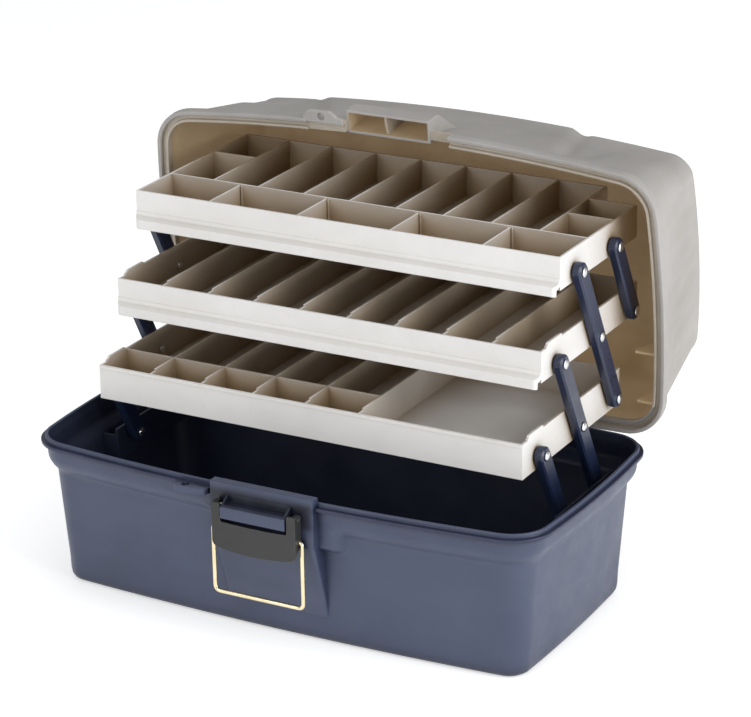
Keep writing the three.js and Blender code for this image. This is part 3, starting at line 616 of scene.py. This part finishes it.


# the navy carries painted shade: in its corners, behind the latch and on a band under the rim
NAVY = moulded(
    "navy_moulded", base=(54, 62, 86), dark=(45, 53, 75), light=(65, 74, 98),
    rubbed=(104, 117, 148), roughness=(0.34, 0.5), grain=0.16, wear=0.3,
    corner_shade_tint=(110, 116, 150), corner_shade_reach=0.02, shade=(70, 74, 106))
# painted shade: a darker copy of the navy plastic for the inside of the base, which lies in shadow
NAVY_IN_PAINTED_SHADE = moulded(
    "navy_inside_painted_shade", base=(24, 29, 48), dark=(18, 22, 40), light=(34, 40, 62),
    rubbed=(60, 70, 100), roughness=(0.4, 0.6), grain=0.2, wear=0.2)
NAVY_ARM = moulded(
    "navy_arm", base=(25, 33, 56), dark=(17, 23, 42), light=(35, 46, 74),
    rubbed=(88, 102, 138), roughness=(0.24, 0.4), grain=0.12, scratch=1.0)
# the trays carry painted shade: a warm darker tint in their corners and pockets
WHITE = moulded(
    "off_white_tray", base=(214, 212, 210), dark=(202, 199, 195), light=(224, 223, 222),
    rubbed=(242, 240, 236), roughness=(0.34, 0.5), wear=0.4, subsurface=0.08,
    corner_shade_tint=(176, 150, 112), corner_shade_reach=0.06)
FROST = moulded(
    "frosted_lid_outside", base=(180, 177, 174), dark=(166, 162, 158), light=(196, 194, 193),
    rubbed=(206, 204, 200), roughness=(0.4, 0.58), grain=0.25, subsurface=0.2,
    grain_scale=1100, translucent=0.3)
# painted light: the lid's inside is a warm tan copy of the frosted plastic with an emission glow,
# standing in for light that comes through the frosted wall
FROST_IN_PAINTED_LIGHT = moulded(
    "frosted_lid_inside_painted_light", base=(196, 172, 136), dark=(172, 146, 108), light=(210, 192, 162),
    rubbed=(222, 210, 188), roughness=(0.42, 0.6), grain=0.25, wear=0.6, subsurface=0.2,
    grain_scale=1100, translucent=0.3, painted_glow=0.10)
FROST_RIM = moulded(
    "frosted_lid_rim", base=(174, 164, 150), dark=(156, 144, 128), light=(190, 182, 170),
    rubbed=(232, 230, 225), roughness=(0.36, 0.52), grain=0.15, wear=0.6, subsurface=0.25,
    translucent=0.1)
GREY = moulded(
    "latch_grey", base=(34, 34, 35), dark=(26, 26, 27), light=(44, 44, 45),
    rubbed=(120, 118, 114), roughness=(0.34, 0.5), grain=0.12, wear=0.7, scratch=1.2)
STEEL = metal("bright_steel", base=(214, 215, 218), dark=(160, 160, 162), roughness=(0.16, 0.34))
BRASS = metal("brassed_wire", base=(240, 226, 190), dark=(208, 184, 136), roughness=(0.14, 0.28))
HANDLE = moulded(
    "handle_navy", base=(52, 62, 92), dark=(40, 50, 78), light=(66, 78, 108),
    rubbed=(98, 110, 140), roughness=(0.4, 0.55), grain=0.3, grain_scale=900)

# Material slots of the two shells
BASE_MATS = (NAVY, NAVY_IN_PAINTED_SHADE)
INSIDE = 1
LID_MATS = (FROST, FROST_IN_PAINTED_LIGHT, FROST_RIM)
LIP = 2


def peg_hole(mats, z):
    """A hole down through the tabs left of the latch, one on the base and one on the lid."""
    profile = [(0, 0), (3.4, 0), (3.4, 12), (0, 12)]
    return lathe("peg_hole", mats, profile, (0, 0, 1), (-66, -126.6, z))


# ---------------------------------------------------------------- base
# Rings on the rim plan: offset, z, fillet
BASE_RIM_OUTER = [
    (-5, 102.5, 2.5), (-2, 108, 3), (-1.6, 114), (-1.4, 120.2, 0.8), (3.2, 120.5, 0.7),
    (3.4, 123.6, 0.8), (0.0, 123.8, 0.6), (-0.1, 127.1, 0.9), (-2.6, 127.1, 0.9)]
BASE_RIM_INNER = [(-4.5, 119.5, 1.5), (-5, 107, 2.5), (-12, 99, 3)]
# Polygons of (y, z) along X, and one of (x, y) for the tab
PLINTH_FOOT = [(-126.3, 96), (-126.2, 91), (-122, 78), (-114.5, 54), (-107, 30), (-104.6, 22),
               (-96, 22), (-104, 96)]
PLINTH = [(-126.6, 90), (-108, 90), (-108.6, 94), (-116.5, 104), (-116.5, 122), (-118.4, 131),
          (-126, 131), (-126.6, 130.4)]
RIDGE = [(-126, 104.5), (-131.6, 105.2), (-138.2, 106.4), (-138.4, 114.8), (-137.4, 116.4),
         (-126, 123.5)]
REAR_WALL = [(108.6, 104), (111.6, 104), (113, 106.5), (113, 123.6), (112.6, 124.2),
             (110.4, 123.6)]
BASE_TAB = [(-78, -116), (-76.6, -127), (-74.6, -130), (-71, -131.5), (-52, -131.5),
            (-47.5, -128.6), (-44.2, -122), (-44.2, -116)]


def base_skin():
    low_z, high_z = 9, 98
    top = inset(RIM_PLAN, 9)

    def wall(z, offset=0, fillet=0.0):
        plan = mix_plans(FOOT_PLAN, top, (z - low_z) / (high_z - low_z))
        return ring(plan, offset, z, fillet)
    outer = [ring(FOOT_PLAN, -24, 0), ring(FOOT_PLAN, 0.2, 0, 9)]
    outer += [wall(z) for z in (20, 40, 60, 74, 80, 83, 85, 87, 89, 91, 94)]
    outer += [wall(high_z, fillet=3)]
    outer += [ring(RIM_PLAN, *row) for row in BASE_RIM_OUTER]
    inner = [ring(RIM_PLAN, *row) for row in BASE_RIM_INNER]
    inner += [wall(z, -BASE_WALL) for z in (80, 60, 40, 24)]
    inner += [ring(FOOT_PLAN, -BASE_WALL - 0.2, 3, 9), ring(FOOT_PLAN, -30, 3)]
    rings, source = filleted(outer + inner)
    first_inner = source.index(len(outer))
    raise_latch_pad(rings[:first_inner])
    return skin("base_visual", BASE_MATS, rings, lambda i: INSIDE if i >= first_inner - 2 else 0)


def raise_latch_pad(rings):
    """Carries the flange down round the latch, as a pad on the front wall."""
    half_front = RIM_PLAN["end"] - RIM_PLAN["corner"] - RIM_PLAN["end_bow"]
    for points in rings:
        x, y, z = points.T
        front = (y < -60) & (z < 108)
        bow = RIM_PLAN["front_bow"] * (x / half_front) ** 2
        target = -(RIM_PLAN["front"] - 2.0 - bow)
        left_edge = -56 + (105 - z) * 13 / 19
        across = smooth((x - left_edge + 2.5) / 5) * smooth((65 - x) / 5)
        weight = np.where(front, across * smooth((z - 83.0) / 6), 0)
        points[:, 1] = y + np.minimum(target - y, 0) * weight


def base_end_pieces(s):
    """Inner plate, upright webs and shelf inside one end; s is -1 left, 1 right."""
    pieces = [block("plate", BASE_MATS, *span(s, 198.4, 201.4), -20, 84, 78, 106, slot=INSIDE)]
    for y, reach in ((-20, 213), (13.7, 213), (47.3, 213), (81.5, 209.6)):
        pieces.append(block("web", BASE_MATS, *span(s, 200.0, reach), y, y + 2.5, 78.2, 100,
                            bevel=0.3, slot=INSIDE))
    shelf = [(200.2, -19.8), (213, -19.8), (213, 58), (209.6, 83.8), (200.2, 83.8)]
    pieces.append(prism("shelf", BASE_MATS, [(s * x, y) for x, y in shelf], 78, 80.5, "z",
                        bevel=0.3, slot=INSIDE))
    return pieces


def base_knuckles():
    y, z = HINGE
    web = [(110.5, 106), (y - 2, z - 4.2), (y - 1, z + 3.8), (110.5, 121)]
    pieces = []
    for s in (-1, 1):
        for shift in (-16, 16):
            x = s * HINGE_X + shift
            pieces.append(cyl("knuckle", BASE_MATS, KNUCKLE_RADIUS, x - 7, x + 7, HINGE, 0.6))
            pieces.append(prism("web", BASE_MATS, web, x - 6.9, x + 6.9, bevel=0.4))
    return pieces


def base_holes():
    holes = [peg_hole(BASE_MATS, 114)]
    for s in (-1, 1):
        x = s * HINGE_X
        holes.append(cyl("pin_hole", BASE_MATS, HINGE_BORE, x - 30, x + 30, HINGE))
        holes.append(cyl("knuckle_gap", BASE_MATS, 5.1, x - 8.8, x + 8.8, HINGE))
    holes.append(block("ridge_well", BASE_MATS, -26.6, 26.6, -136.1, -127, 117.3, 128, bevel=0.4))
    holes.append(cyl("lever_hole", BASE_MATS, 1.75, -40, 40, LEVER_PIVOT))
    for row in ("front", "rear"):
        for s, side in ((-1, "left"), (1, "right")):
            centre = node_centre("rivet_base_%s_%s" % (row, side))
            holes.append(cyl("rivet_hole", BASE_MATS, 2.5, s * 200 - 6, s * 200 + 6,
                             (centre.y, centre.z)))
    return holes


def make_base():
    base = base_skin()
    # the rear ledge stops short of the ends
    ledge = block("ledge_cut", BASE_MATS, -184, 184, 111.9, 126, 105, 124.4, bevel=0)
    combine(base, "DIFFERENCE", [ledge])
    pieces = [
        prism("rear_wall", BASE_MATS, REAR_WALL, -186, 186, bevel=0.2),
        prism("plinth_foot", BASE_MATS, PLINTH_FOOT, -43.6, 46.6, bevel=3.4, steps=5),
        prism("plinth", BASE_MATS, PLINTH, -44, 47, bevel=0.9, steps=3),
        prism("ridge", BASE_MATS, RIDGE, -28.6, 28.6, bevel=0.6),
        prism("tab", BASE_MATS, BASE_TAB, 118.4, 123.6, "z", bevel=0.7)]
    pieces += base_end_pieces(-1) + base_end_pieces(1) + base_knuckles()
    combine(base, "UNION", pieces)
    combine(base, "DIFFERENCE", base_holes())
    place(tidy(base), "base", "base_shell")


make_base()


# ---------------------------------------------------------------- lid
# Rings on the rim plan: offset, z, fillet
LID_LIP = [(-5.6, 131, 2), (-5.8, 125.4, 0.9), (-3.4, 125.4, 0.9), (-3.2, 128.3, 0.5),
           (0.6, 128.3, 0.5)]
LID_FLANGE = [(0.8, 124.2, 0.8), (4.2, 124.2, 1.0), (4.4, 131.4, 2), (3.2, 134.6, 2.2),
              (-0.8, 136.4, 2.2)]
LID_OUTER_Z = (142, 150, 158, 166, 170, 174, 178, 182, 188, 196, 204, 212, 220, 228, 234, 238,
               242)
FLUTE_EDGES = (-62, -38, -13, 2, 20, 49, 80)  # y
FLUTE_DEPTH = 1.7
# Polygons of (y, z) along X
POCKET = [(-131.6, 132.6), (-112, 132.6), (-112, 150), (-108.2, 178.5), (-130.4, 150),
          (-131.6, 147)]
POCKET_CUT = [(-129.6, 128), (-114.4, 128), (-114.4, 160), (-113.8, 167), (-115, 167),
              (-129.6, 148)]
DIVIDER = [(-130.8, 134.4), (-126, 133.6), (-120, 134.6), (-113.6, 136.5), (-113, 163),
           (-116, 164), (-130.2, 146.5)]
HANDLE_LUG = [(9, 241), (19, 241), (19, 251), (16.6, 254.2), (14, 254.9), (11.4, 254.2),
              (9, 251)]
# Polygons of (x, y) along Z
LID_TAB = [(-84, -121.2), (-82.6, -125), (-79.5, -129.8), (-76, -131.5), (-59, -131.5),
           (-55, -129), (-52, -126.4), (-46.4, -125.6), (-46.4, -121.2)]
CORNER_RIB = [(192, -107.4), (205.3, -103.3), (216, -92.6), (219.6, -78), (219, -74),
              (210, -80), (200, -92)]
RECESS_CUT = [(-77.5, -28), (-74, -31.5), (74, -31.5), (77.5, -28), (77.5, 20), (74, 23.5),
              (-74, 23.5), (-77.5, 20)]
# Polygon of (x, z) along Y
WALL_RIB = [(202, 129), (202, 132), (212, 150), (218, 152), (219, 129)]


def front_relief(x, y, z):
    """How far the front is pressed in: two creases, and outer panels below the middle one."""
    left = -137 + (245 - z) * 0.55
    right = 97 + (245 - z) * 0.28
    crease = np.exp(-((x - left) / 5.5) ** 2) * 3.2 + np.exp(-((x - right - 13) / 4.5) ** 2) * 1.8
    panels = smooth((left - x) / 10) * 2.4 + smooth((x - right) / 9) * 3.4
    panels = panels * (1 - smooth((np.abs(x) - 146) / 20) * smooth((216 - z) / 10))
    front = smooth((-y - 55) / 20)
    up = smooth((z - 146) / 20)
    return (crease + panels) * front * up * smooth((216 - np.abs(x)) / 10)


def end_relief(x, y, z):
    """How far the end walls are pressed in: upright flutes, each a slope ending in a step."""
    end = smooth((np.abs(x) - 196) / 6) * smooth((z - 160) / 14) * smooth((246 - z) / 8)
    saw = np.zeros_like(x)
    for start, stop in zip(FLUTE_EDGES, FLUTE_EDGES[1:]):
        t = (y - start) / (stop - start)
        slope = FLUTE_DEPTH * (1 - t) * smooth(t * (stop - start) / 3.2)
        saw = np.where((t >= 0) & (t < 1), slope, saw)
    return (FLUTE_DEPTH - saw) * end * ((y > FLUTE_EDGES[0]) & (y < FLUTE_EDGES[-1]))


def lid_skin():
    low_z, high_z = 138, 248
    low = inset(RIM_PLAN, 1)

    def wall(z, offset=0, fillet=0.0):
        plan = mix_plans(low, LID_PLAN, (z - low_z) / (high_z - low_z))
        return ring(plan, offset, z, fillet)
    inner = [ring(LID_PLAN, -34, LID_TOP - LID_WALL),
             ring(LID_PLAN, -LID_WALL - 0.3, LID_TOP - LID_WALL, 7)]
    inner += [wall(z, -LID_WALL) for z in (232, 216, 200, 184, 168, 152)]
    inner += [wall(low_z, -LID_WALL, 3)]
    rim = [ring(RIM_PLAN, *row) for row in LID_LIP + LID_FLANGE]
    outer = [wall(z) for z in LID_OUTER_Z]
    outer += [ring(LID_PLAN, 0.1, LID_TOP, 9), ring(LID_PLAN, -34, LID_TOP)]
    rings, source = filleted(inner + rim + outer)
    for points, index in zip(rings, source):
        x, y, z = points.T.copy()
        if index < len(inner):
            points[:, 1] = y + front_relief(x, y, z) * 0.9
        elif index >= len(inner + rim):
            points[:, 1] = y + front_relief(x, y, z)
            points[:, 0] = x - np.sign(x) * end_relief(x, y, z)

    def slot_of(i):
        if source[i] < len(inner):
            return INSIDE
        return LIP if source[i] < len(inner) + len(LID_LIP) else 0
    return skin("lid_visual", LID_MATS, rings, slot_of)


def lid_inner_pieces():
    pieces = [prism("divider", LID_MATS, DIVIDER, -12.8, -10.8, bevel=0.4, slot=LIP),
              prism("tab", LID_MATS, LID_TAB, 124.5, 128.5, "z", bevel=0.7),
              # ribs that steady the folded trays
              prism("corner_rib", LID_MATS, CORNER_RIB, 140, 143, "z", bevel=0.6, slot=INSIDE)]
    for s in (-1, 1):
        for y in (40, 84):
            pieces.append(prism("wall_rib", LID_MATS, [(s * x, z) for x, z in WALL_RIB],
                                y, y + 2.2, "y", bevel=0.3, slot=INSIDE))
    # walls of the recess for the handle
    pieces.append(block("recess", LID_MATS, -80, 80, -34, 26, 240, 254.4, bevel=0.8, slot=INSIDE))
    return pieces


def lid_pivots():
    """Handle lugs and hinge knuckles, then the bores through them."""
    y, z = HINGE
    arm = [(y - 0.2, z + 1), (y + 4.4, z + 1), (y + 3.6, 133), (114.6, 135), (114.6, 124.4),
           (y - 0.6, 124.4)]
    solids = [prism("lug", LID_MATS, HANDLE_LUG, *span(s, 68.5, 79), bevel=0.6) for s in (-1, 1)]
    bores = []
    for s in (-1, 1):
        x = s * HINGE_X
        solids.append(cyl("knuckle", LID_MATS, KNUCKLE_RADIUS, x - 7.6, x + 7.6, HINGE, 0.6))
        solids.append(prism("arm", LID_MATS, arm, x - 7.5, x + 7.5, bevel=0.4))
        bores.append(cyl("bore", LID_MATS, HINGE_BORE, x - 9, x + 9, HINGE))
    bores.append(cyl("handle_bore", LID_MATS, 1.8, -76.5, 76.5, HANDLE_PIVOT))
    return solids, bores


def make_lid():
    lid = lid_skin()
    # the inner lip stops short of the hinge side
    rear = [tuple(point) for point in outline(RIM_PLAN, -3.3) if point[1] > 86]
    lip_cut = prism("lip_cut", LID_MATS, [(-212, 86), (212, 86)] + rear, 119, 128.2, "z", bevel=0)
    notch = block("notch", LID_MATS, -46, 48.5, -126, -110, 118, 133.5, bevel=0, slot=LIP)
    combine(lid, "DIFFERENCE", [lip_cut, notch])
    pocket = prism("pocket", LID_MATS, POCKET, -47, 28.5, bevel=0.7, steps=3)
    combine(lid, "UNION", [pocket])
    combine(lid, "DIFFERENCE", [
        prism("pocket_cut", LID_MATS, POCKET_CUT, -45, 26.5, bevel=1.2, steps=3, slot=INSIDE),
        block("rim_slot", LID_MATS, -80, 48.8, -121.4, -110, 118, 127.8, bevel=0, slot=LIP)])
    combine(lid, "UNION", lid_inner_pieces())
    recess_cut = prism("recess_cut", LID_MATS, RECESS_CUT, 242.5, 262, "z", bevel=0)
    combine(lid, "DIFFERENCE", [peg_hole(LID_MATS, 119), recess_cut])
    solids, bores = lid_pivots()
    combine(lid, "UNION", solids)
    combine(lid, "DIFFERENCE", bores)
    open_lid(tidy(lid))
    place(lid, "lid", "lid_shell")


make_lid()


# ---------------------------------------------------------------- handle and pins
def make_handle():
    """A bent bar with a ribbed grip."""
    mats, z = (HANDLE,), HANDLE_PIVOT[1]
    bar_y, tip_y = -20, 18
    corners = [(-HANDLE_X, tip_y, z), (-HANDLE_X, bar_y, z), (HANDLE_X, bar_y, z),
               (HANDLE_X, tip_y, z)]
    path = bend_path(corners, [0, 12, 12, 0])
    handle = rod("carry_handle_visual", mats, path, [5.2] * len(path), 28, (0, 0, 1))
    grip_path, radii = [], []
    for i in range(121):
        x = -45 + 90 * i / 120
        from_end = min(x + 45, 45 - x)
        groove = 0.45 if (i // 3) % 2 and from_end > 6 else 0.0
        grip_path.append((x, bar_y, z))
        radii.append(5.0 + 1.1 * min(from_end / 3, 1) - groove)
    combine(handle, "UNION", [rod("grip", mats, grip_path, radii, 28, (0, 0, 1))])
    combine(handle, "DIFFERENCE", [
        cyl("bore", mats, 1.8, s * HANDLE_X - 8, s * HANDLE_X + 8, HANDLE_PIVOT) for s in (-1, 1)])
    open_lid(tidy(handle))
    place(handle, "handle", "carry_handle")


def make_pin(node, body, radius, x0, x1, centre):
    pin = cyl(node + "_visual", (STEEL,), radius, x0, x1, centre)
    if body == "lid":
        open_lid(pin)
    place(tidy(pin), body, node)


make_handle()
for s, side in ((-1, "left"), (1, "right")):
    x = s * HINGE_X
    make_pin("handle_pin_" + side, "lid", 1.5, *span(s, 57.5, 75.8), HANDLE_PIVOT)
    make_pin("hinge_pin_" + side, "base", 1.6, x - 22.5, x + 22.5, HINGE)
make_pin("latch_pin", "base", 1.5, -36.8, 36.8, LEVER_PIVOT)

# ---------------------------------------------------------------- trays, arms and rivets
node_body = {node: body for body, nodes in frame["record"]["behaviour"]["bodies"].items()
             for node in nodes}


def make_rivet(node):
    """Small head at the start, wide head at the far end; base rivets run inwards."""
    centre = node_centre(node)
    side = 1 if centre.x > 0 else -1
    start, stop = (BASE_RIVET_X, 189.5) if node.startswith("rivet_base") else (186.8, 198.1)
    grip = abs(stop - start)
    profile = [
        (0, -1.1), (2.6, -1.1), (3.1, -0.9), (3.3, -0.5), (3.2, -0.1), (2.2, -0.1), (2.2, grip),
        (3.9, grip), (4.1, grip + 0.25), (4.0, grip + 0.6), (3.5, grip + 1.1), (2.6, grip + 1.5),
        (1.4, grip + 1.75), (0, grip + 1.8)]
    axis = (side if stop > start else -side, 0, 0)
    origin = (side * start, centre.y, centre.z)
    rivet = lathe(node + "_visual", (STEEL,), profile, axis, origin, sides=36)
    place(tidy(rivet, 50), node_body[node], node)


for node in ["top_tray", "middle_tray", "bottom_tray"] + [
        "loose_divider_%d" % i for i in (1, 2, 3, 4)]:
    place(from_node(node, (WHITE,), 0.3), node_body[node], node)
for node in sorted(node_body):
    if "_arm_" in node and not node.startswith("rivet"):
        arm = from_node(node, (NAVY_ARM,), 0.35, steps=3, angle=20)
        place(arm, node_body[node], node)
for node in sorted(node_body):
    if node.startswith("rivet_"):
        make_rivet(node)


# ---------------------------------------------------------------- latch
def make_lever():
    """A plate with a bowed lower edge, a wide notch in its top and a cheek at each side."""
    mats, w = (GREY,), 37.0
    lower = []
    for i in range(25):
        x = -w + 4 + (2 * w - 8) * i / 24
        lower.append((x, 78.4 + 3.4 * (x / w) ** 2))
    notch = []
    for i in range(13):
        t = 1 - 2 * i / 12
        notch.append((29 * t, 102.3 + 0.7 * t ** 2))
    # (x, z) up the right side and down into the notch; the left side mirrors it
    right = [(w - 1, 83.4), (w, 86.0), (w, 116.6), (w - 0.6, 118), (w - 1.8, 118.5), (31, 118.5),
             (29.8, 118), (29.4, 116.8), (29.4, 104.2), (29.1, 103.3)]
    left = [(-x, z) for x, z in right[::-1]]
    plate = left[-2:] + lower + right + notch + left[:-2]
    lever = prism("latch_lever_visual", mats, plate, -137, -134.6, "y", steps=3)
    y, z = LEVER_PIVOT
    eye = 3.7
    cheek = [(-135.2, 88), (-132, 89.5), (y + eye, 94)]
    cheek += [(y + eye * math.cos(turn), z + eye * math.sin(turn))
              for turn in np.linspace(0, math.pi / 2, 10)]
    cheek.append((-135.2, 118.2))
    combine(lever, "UNION", [
        prism("cheek", mats, cheek, *span(s, 33.2, w), bevel=0.4) for s in (1, -1)])
    combine(lever, "DIFFERENCE", [cyl("pin_hole", mats, 1.8, -40, 40, LEVER_PIVOT),
                                  cyl("bail_hole", mats, 1.95, -40, 40, BAIL_PIVOT)])
    place(tidy(lever), "lever", "latch_lever")


def make_bail():
    """A wire loop hanging from the lever, its ends turned in."""
    y, z = BAIL_PIVOT
    corners = [(-34, y, z), (-39.5, y, z), (-39.2, y, 41), (39.5, y, 41), (39.5, y, z),
               (34, y, z)]
    path = bend_path(corners, [0, 2.6, 5, 5, 2.6, 0])
    bail = rod("latch_bail_visual", (BRASS,), path, [1.72] * len(path), 24, (0, 1, 0))
    place(tidy(bail, 60), "bail", "latch_bail")


make_lever()
make_bail()


# ---------------------------------------------------------------- floor, light, camera
def make_floor():
    bpy.ops.mesh.primitive_plane_add(size=40, location=(0, 0, 0))
    floor = bpy.context.object
    floor.name = "studio_floor"
    n = Shader("studio_floor")
    patches = n.remap(n.noise(scale=3, detail=2), (0.3, 0.7))
    n.set(Base_Color=n.mix(patches, (0.93, 0.93, 0.93, 1), (0.95, 0.95, 0.95, 1)),
          Roughness=0.9, Specular_IOR_Level=0.1,
          Emission_Color=(1, 1, 1, 1), Emission_Strength=0.42)
    floor.data.materials.append(n.material)


def make_world():
    world = bpy.data.worlds.new("studio")
    bpy.context.scene.world = world
    world.use_nodes = True
    background = world.node_tree.nodes["Background"]
    background.inputs["Color"].default_value = (0.97, 0.985, 1.0, 1)
    background.inputs["Strength"].default_value = 0.48


def area_light(name, location, target, size, power, colour=(1, 1, 1)):
    light = bpy.data.lights.new(name, "AREA")
    light.shape = "RECTANGLE"
    light.size, light.size_y = size
    light.energy = power
    light.color = colour
    ob = bpy.data.objects.new(name, light)
    bpy.context.scene.collection.objects.link(ob)
    ob.location = location
    ob.rotation_mode = "QUATERNION"
    ob.rotation_quaternion = (Vector(target) - Vector(location)).to_track_quat("-Z", "Y")


def make_camera():
    azimuth, elevation, roll = (math.radians(a) for a in (28.8206, 20.8685, -0.8516))
    position = (1118.46, -1971.4, 1058.74)  # mm
    forward = Vector((-math.sin(azimuth) * math.cos(elevation),
                      math.cos(azimuth) * math.cos(elevation), -math.sin(elevation)))
    level = Vector((math.cos(azimuth), math.sin(azimuth), 0))
    upright = level.cross(forward)
    right = level * math.cos(roll) + upright * math.sin(roll)
    up = -level * math.sin(roll) + upright * math.cos(roll)
    data = bpy.data.cameras.new("camera")
    data.sensor_width = 36
    data.lens = 147.3416245
    data.clip_start, data.clip_end = 0.05, 100
    camera = bpy.data.objects.new("camera", data)
    bpy.context.scene.collection.objects.link(camera)
    rows = [(right[i], up[i], -forward[i], position[i] * MM) for i in range(3)]
    camera.matrix_world = Matrix((*rows, (0, 0, 0, 1)))
    bpy.context.scene.camera = camera


make_floor()
make_world()
area_light("key", location=(-0.5, -2.3, 1.25), target=(0, 0, 0.15), size=(1.6, 1.2), power=21,
           colour=(1.0, 0.995, 0.99))
area_light("right_softbox", location=(2.2, -0.3, 0.9), target=(0, 0, 0.15), size=(1.4, 1.6),
           power=38)
area_light("top", location=(0.1, 0.5, 2.4), target=(0, 0, 0.1), size=(2.0, 2.0), power=8)
make_camera()
bpy.context.scene.view_settings.view_transform = "Standard"
bpy.context.scene.view_settings.look = "None"
